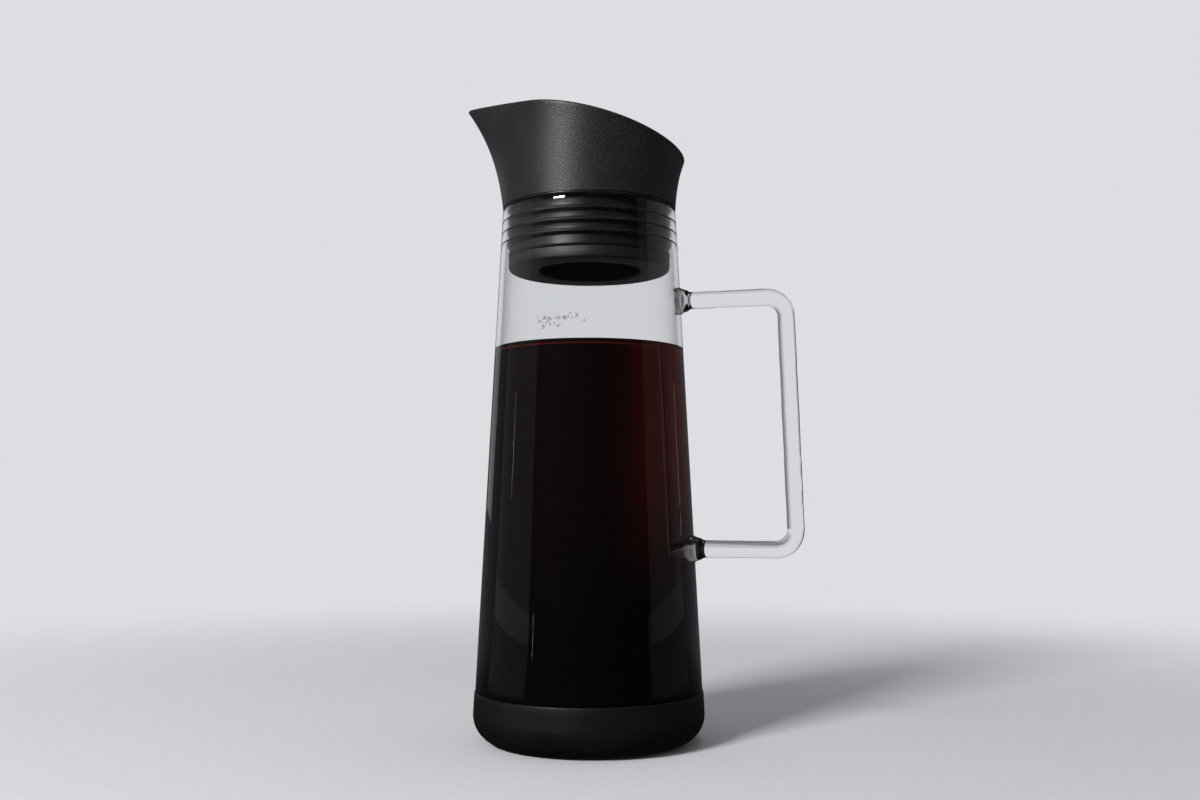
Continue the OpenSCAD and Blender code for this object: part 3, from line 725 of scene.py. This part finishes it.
def makeFlap(f, s):
    # a disc with a boss that holds its gasket, an arm, and a knuckle round the pin
    disc = turned(rounded([(0, f["bossZ"], 0), (f["bossR"], f["bossZ"], 0.3), (f["bossR"], f["z"], 0.1),
                           (f["r"], f["z"], 0.5), (f["r"], f["top"], 0.7), (0, f["top"], 0)], 0.2), f["columns"])
    x, z = s["hinge"]
    half, end = f["armW"] / 2, x - f["armL"]
    outline = np.array([(x, -half), (x, half), (end, half), (end, -half), (x, -half)])
    arm = slab(spaced(outline, 0.8)[:-1], f["z"] + 0.02, f["top"] - 0.02, f["edge"], 2)
    knuckle = slab(circle(x, z, s["knuckle"]), -half, half, f["edge"], 1)
    makePiece("pourFlap", *joined(disc, arm, knuckle), "stopperPlastic", "flap", "flap_plastic", ["pour_flap"])
    pin = slab(circle(x, z, f["pinR"], count=32), -f["pinL"] / 2, f["pinL"] / 2, f["pinEdge"], 1)
    makePiece("hingePin", *pin, "pinSteel", "lid", "pin_steel", ["flap_pin"])


makeFlap(flap, stopper)


flapGasket = {"inR": 15.4, "outR": 18.8, "low": 228.5, "high": 229.69, "edge": 0.4, "columns": 144}


def makeGasket(name, g, body, node):
    # a flat ring with rounded edges: a closed profile turned round Z
    low, high, edge = g["low"], g["high"], g["edge"]
    middle = (low + high) / 2
    profile = rounded([(g["inR"], middle, 0), (g["inR"], high, edge), (g["outR"], high, edge),
                       (g["outR"], low, edge), (g["inR"], low, edge), (g["inR"], middle - 0.05, 0)], 0.1)
    makePiece(name, *turned(profile, g["columns"]), "sealSilicone", body, "gasket_silicone", [node])


makeGasket("flapGasket", flapGasket, "flap", "flap_gasket")
print("stopper and flap ready")


filterParts = {"frameR": 24.4, "meshR": 22.8, "meshIn": 22.4, "lowZ": 5.2, "frameZ": 7.0, "frameTop": 151.0,
               "cupR": 26.4, "cupIn": 24.6, "baseTop": 18.0, "skirtZ": 142.0, "capZ": 152.2, "capTop": 154.0,
               "flutes": 20, "fluteDepth": 0.6, "fluteHalf": 1.04, "columns": 6, "rows": 3, "rib": 4.5, "rim": 12,
               "corner": 2.2, "edge": 0.35, "loopR": 11.0, "loopHalf": 2.0, "loopPower": 0.6, "perFlute": 24,
               "perSide": 24, "meshColumns": 192, "fluteEnd": 0.6, "fluteWall": 1.2, "loopTurn": (-6, 186)}
capGasket = {"inR": 20.8, "outR": 24.4, "low": 151.0, "high": 152.19, "edge": 0.3, "columns": 144}


def fluted(profile, low, high, f):
    # a turned profile whose outer wall has shallow grooves between the heights low and high: fluteDepth times
    # (1 - across squared), and a quarter circle at each end
    points, faces = turned(profile, f["flutes"] * f["perFlute"])
    r = np.hypot(points[:, 0], points[:, 1])
    pitch = 2 * math.pi / f["flutes"]
    a = (np.arctan2(points[:, 1], points[:, 0]) + pitch / 2) % pitch - pitch / 2
    across = np.minimum(np.abs(a) * f["cupR"] / f["fluteHalf"], 1)
    depth = f["fluteDepth"] * (1 - across ** 2)
    ends = np.clip(np.minimum(points[:, 2] - low, high - points[:, 2]) / f["fluteEnd"], 0, 1)
    depth = depth * np.sqrt(1 - (1 - ends) ** 2) * (r > f["cupR"] - f["fluteWall"])
    points[:, :2] *= (1 - depth / np.maximum(r, 1e-6))[:, None]
    return points, faces


def makeCups(f):
    # the base cup and the cap, both with grip flutes; the cap has a finger loop, a section carried round a
    # half circle: x = reach cos way, z = capTop + reach sin way
    base = rounded([(0, f["lowZ"], 0), (f["cupR"], f["lowZ"], 1.0), (f["cupR"], f["baseTop"], 0.5),
                    (f["cupIn"], f["baseTop"], 0.4), (f["cupIn"], f["frameZ"], 0.3), (0, f["frameZ"], 0)], 0.2)
    makePiece("filterBase", *fluted(spaced(base, 0.7), f["frameZ"], f["baseTop"] + 2, f), "filterPlastic", "filter",
              "filter_plastic", ["filter_base"])
    cap = rounded([(0, f["capTop"], 0), (f["cupR"], f["capTop"], 0.9), (f["cupR"], f["skirtZ"], 0.5),
                   (f["cupIn"], f["skirtZ"], 0.4), (f["cupIn"], f["capZ"], 0.3), (0, f["capZ"], 0)], 0.2)
    shell = fluted(spaced(cap, 0.7), f["skirtZ"] - 2, f["frameTop"], f)
    way = np.radians(np.linspace(*f["loopTurn"], 80))[:, None]
    t = np.arange(32) * 2 * math.pi / 32
    # the loop's section lies between a circle and a square: |cos| and |sin| to a power, with their signs
    wide, deep = (np.sign(v) * np.abs(v) ** f["loopPower"] * f["loopHalf"] for v in (np.cos(t), np.sin(t)))
    reach = f["loopR"] + wide[None]
    loop = capped(np.stack([reach * np.cos(way), deep[None] + 0 * way, f["capTop"] + reach * np.sin(way)], -1))
    makePiece("filterCap", *joined(shell, loop), "filterPlastic", "cap", "filter_plastic", ["filter_cap"])


def makeFrame(f):
    # one cell per window, flat, then rolled up: angle is the flat width over frameR. In each cell rings run
    # from its border to the window's edge, over that edge, and back inside
    arc = 2 * math.pi * f["frameR"] / f["columns"]
    pitch = (f["frameTop"] - f["frameZ"] - 2 * f["rim"] + f["rib"]) / f["rows"]
    half = np.array([arc - f["rib"], pitch - f["rib"]]) / 2
    count = f["perSide"]
    side, one = np.linspace(-1, 1, count + 1)[:-1], np.ones(count)
    border = np.concatenate([np.stack(v, -1) for v in ((side, -one), (one, side), (-side, one), (-one, -side))])
    inner = half - f["corner"]
    scaled = border * half
    core = np.clip(scaled, -inner, inner)
    window = core + (scaled - core) / np.maximum(np.hypot(*(scaled - core).T), 1e-9)[:, None] * f["corner"]
    turn = np.linspace(0, math.pi / 2, 5)
    edge, wall = f["edge"], f["frameR"] - f["meshR"]
    back = np.concatenate([[0, 0, 0], edge * (1 - np.sin(turn)), edge * (1 - np.cos(turn)), [0, 0, 0]])
    share = np.concatenate([[0, 0.4, 0.8], np.ones(10), [0.8, 0.4, 0]])
    down = np.concatenate([[0, 0, 0], edge * (1 - np.cos(turn)), wall - edge * (1 - np.sin(turn)), [wall] * 3])
    points, faces = [], []
    for column in range(f["columns"]):
        for row in range(f["rows"]):
            middle = f["frameZ"] + f["rim"] + half[1] + row * pitch
            low = f["frameZ"] - middle if row == 0 else -pitch / 2
            high = f["frameTop"] - middle if row == f["rows"] - 1 else pitch / 2
            cell = border * np.array([arc / 2, 1])
            cell[:, 1] = np.where(border[:, 1] > 0, border[:, 1] * high, -border[:, 1] * low)
            towards = (window - cell) / np.hypot(*(window - cell).T)[:, None]
            flat = cell + (window - cell) * share[:, None, None] - towards * back[:, None, None]
            angle = flat[..., 0] / f["frameR"] + column * 2 * math.pi / f["columns"]
            r = f["frameR"] - down[:, None]
            start = sum(len(p) for p in points)
            points.append(np.stack([r * np.cos(angle), r * np.sin(angle), flat[..., 1] + middle], -1).reshape(-1, 3))
            faces.append(gridFaces(len(share), len(border)) + start)
            # the frame's two ends are closed along the cells' low and high sides
            for at, end in ((0, 0), (2, f["rows"] - 1)):
                if row == end:
                    c = np.arange(at * count, at * count + count)
                    cNext, last = (c + 1) % len(border), (len(share) - 1) * len(border)
                    faces.append(np.stack([c + last, cNext + last, cNext, c], -1) + start)
    # neighbouring cells share their borders' points
    points = np.concatenate(points)
    _, first, which = np.unique(np.round(points, 4), axis=0, return_index=True, return_inverse=True)
    faces = [which.reshape(-1)[rows] for rows in faces]
    makePiece("filterFrame", points[first], faces, "filterPlastic", "filter", "filter_plastic", ["filter_frame"])


def makeMesh(f):
    # a tube with square ends: a closed profile turned round Z
    low, high, outR = f["frameZ"], f["frameTop"], f["meshR"] - 0.01
    profile = np.array([(outR, low), (outR, high), (f["meshIn"], high), (f["meshIn"], low), (outR, low)])
    points, faces = turned(spaced(profile, 12)[:-1], f["meshColumns"])
    makePiece("filterMesh", points, faces, "meshSteel", "filter", "mesh_steel", ["filter_mesh"])


makeCups(filterParts)
makeFrame(filterParts)
makeMesh(filterParts)
makeGasket("capGasket", capGasket, "cap", "cap_gasket")
print("filter ready")


# floor and far are what the camera and the glass see; mirrored, behind, left and right are what polished
# things mirror; fill is the soft light; card darkens both sides and so draws the outlines of the glass
stage = {"floor": (0.72, 0.71, 0.74), "far": (0.72, 0.73, 0.76), "mirrored": (0.02, 0.02, 0.022),
         "behind": (0.09, 0.09, 0.097), "left": (0.13, 0.13, 0.13), "right": (0.085, 0.085, 0.085),
         "fill": (0.22, 0.22, 0.23), "card": (0.22, 0.22, 0.24), "cards": (0.35, 0.85), "size": 8.0,
         "fade": (0.14, 0.8), "backFrom": (0.05, 0.4), "asideFrom": (0.2, 0.4), "panelFront": 0.52, "panelBack": 0.43}


def rayKinds(f):
    # is it the camera's, has it come through glass, and how often was it spread, mirrored or let through
    return [f.node("ShaderNodeLightPath", output=kind) for kind in (
        "Is Camera Ray", "Is Transmission Ray", "Diffuse Depth", "Glossy Depth", "Transmission Depth")]


def makeFloor(s):
    # a plane whose colour fades with the distance, root of x squared plus y squared, into the backdrop's, so
    # that no horizon shows; polished things mirror a darker floor painted in its place, as on a table in a dim room
    f = Finish("paleFloor")
    where = f.place()
    x, y = f.axes(where, "XY")
    grain = f.noise(where, 240, 3)
    paper = f.node("ShaderNodeBsdfPrincipled", {}, {
        "Base Color": f.blend(grain.between(0.3, 0.7), s["floor"], tuple(0.97 * v for v in s["floor"])),
        "Roughness": 0.75, "Specular IOR Level": 0.2, "Normal": f.bump(grain, 0.05)})
    camera, glass, spread, mirrored, walls = rayKinds(f)
    away = ((x * x + y * y) ** 0.5).between(*s["fade"])
    surface = f.mix(away * (camera + glass > 0.5) * (spread < 0.5), paper, f.glow(s["far"]))
    # towards the side panels the floor that polished things mirror carries a painted pool of their light, down to the
    # foot of what mirrors them: in a wedge at each side, which for each metre aside reaches panelFront forward and
    # panelBack back
    aside = x.size()
    front = (y + aside * s["panelFront"]).between(-0.02, 0.02)
    paintedPanelPool = aside.between(*s["asideFrom"]) * front * (aside * s["panelBack"] - y > 0)
    # painted reflection: the colour that polished things see in the floor
    paintedMirrorFloor = f.blend(y.between(*s["backFrom"]), s["mirrored"], s["behind"])
    paintedMirrorFloor = f.blend(paintedPanelPool, paintedMirrorFloor, f.blend(x > 0, s["left"], s["right"]))
    dimmed = (mirrored > 0.5) * (1 - glass * (walls < 3.5) * (y > 0.3))
    surface = f.mix(dimmed, surface, f.glow(paintedMirrorFloor))
    h = s["size"]
    mesh = bpy.data.meshes.new("floor")
    mesh.from_pydata([(-h, -h, 0), (h, -h, 0), (h, h, 0), (-h, h, 0)], [], [(0, 1, 2, 3)])
    mesh.materials.append(f.close(surface))
    floor = bpy.data.objects.new("floor", mesh)
    bpy.context.scene.collection.objects.link(floor)


def makeWorld(s):
    # pale to the camera and through glass, dim to gloss, and a softer level as light
    world = bpy.data.worlds.new("studio")
    bpy.context.scene.world = world
    world.use_nodes = True
    f = Finish("studio", world.node_tree)
    camera, glass, spread, mirrored, walls = rayKinds(f)
    x, y = f.axes(f.node("ShaderNodeTexCoord", output="Generated"), "XY")  # the ray's direction
    colour = f.blend(mirrored > 0.5, s["fill"], f.blend(y.between(0.15, 0.6), s["mirrored"], s["behind"]))
    # a ray that turned back inside a rod has crossed two surfaces at most, and goes on to the back
    seen = (camera + glass > 0.5) * (spread < 0.5) * ((mirrored < 0.5) + (walls < 3.5) * (y > -0.1) > 0.5)
    card = f.blend(glass * x.size().between(*s["cards"]), s["far"], s["card"])
    light = f.node("ShaderNodeBackground", {}, {"Color": f.blend(seen, colour, card), "Strength": 1.0})
    f.node("ShaderNodeOutputWorld", {}, {"Surface": light})


# place, target and size in metres, power in watts; narrow strips draw the thin upright glints in the glass
lamps = {
    "keySoftbox": ((-1.09, -1.30, 1.13), (0, 0, 0.12), (0.48, 0.21), 40),
    "leftPanel": ((-1.1, -0.05, 0.5), (0, -0.05, 0.5), (1.05, 0.98), 0.42),
    "backPanel": ((-0.75, 1.05, 0.55), (0, 0, 0.15), (0.5, 0.9), 0.45),
    "topPanel": ((0.15, 0.1, 1.5), (0, 0, 0.2), (0.7, 0.7), 2),
    "rightPanel": ((1.1, 0.0, 0.5), (0, 0.0, 0.5), (1.0, 0.98), 0.26),
    "leftStrip": ((-1.0, 0.05, 0.24), (0, 0, 0.24), (0.010, 0.13), 0.010),
    "lowStrip": ((-0.80, -0.52, 0.03), (0, 0, 0.03), (0.008, 0.05), 0.004),
    "rightStrip": ((0.93, 0.49, 0.21), (0, 0, 0.21), (0.010, 0.20), 0.012),
}


def makeLamp(name, place, target, size, power):
    data = bpy.data.lights.new(name, "AREA")
    data.shape, data.size, data.size_y = "RECTANGLE", *size
    data.energy = power
    lamp = bpy.data.objects.new(name, data)
    lamp.location = place
    lamp.visible_camera = lamp.visible_transmission = False  # glass lets their rays through already
    lamp.rotation_euler = (Vector(target) - Vector(place)).to_track_quat("-Z", "Y").to_euler()
    bpy.context.scene.collection.objects.link(lamp)


makeFloor(stage)
makeWorld(stage)
for name, settings in lamps.items():
    makeLamp(name, *settings)
print("stage ready")
